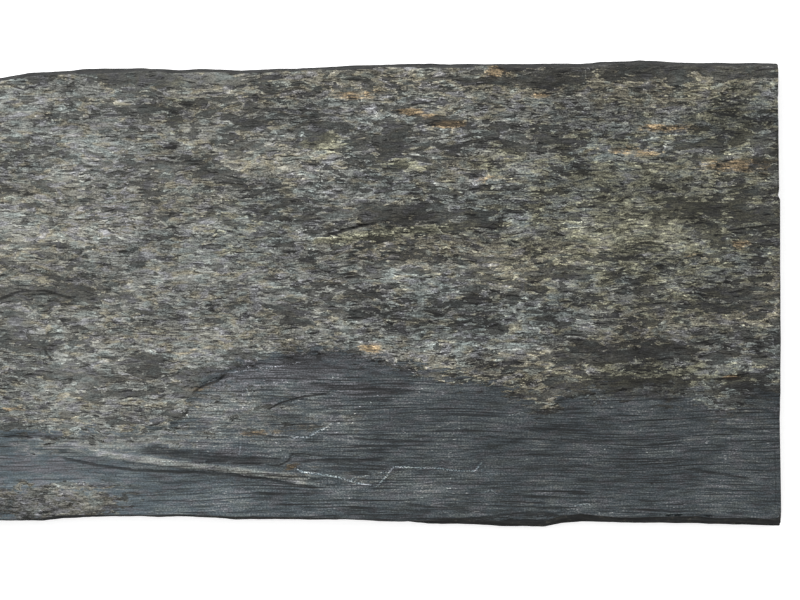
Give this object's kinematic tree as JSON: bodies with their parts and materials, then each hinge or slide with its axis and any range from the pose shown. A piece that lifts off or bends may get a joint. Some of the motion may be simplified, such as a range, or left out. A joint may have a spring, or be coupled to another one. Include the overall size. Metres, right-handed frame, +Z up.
{
  "type": "slate slab",
  "caption": "Flat riven slab of grey slate with a flaky split face, layered broken edges and one sawn end.",
  "frame": {"origin": "centre of the slab's box on the resting plane", "axes": "+X along the grain, towards the sawn end; +Y towards the straight back edge; +Z up, out of the riven face"},
  "size_m": [0.8998, 0.46, 0.0297],
  "materials": {
    "riven_slate": "matte"
  },
  "bodies": {
    "root": {"slate_slab": "riven_slate"}
  },
  "joints": []
}
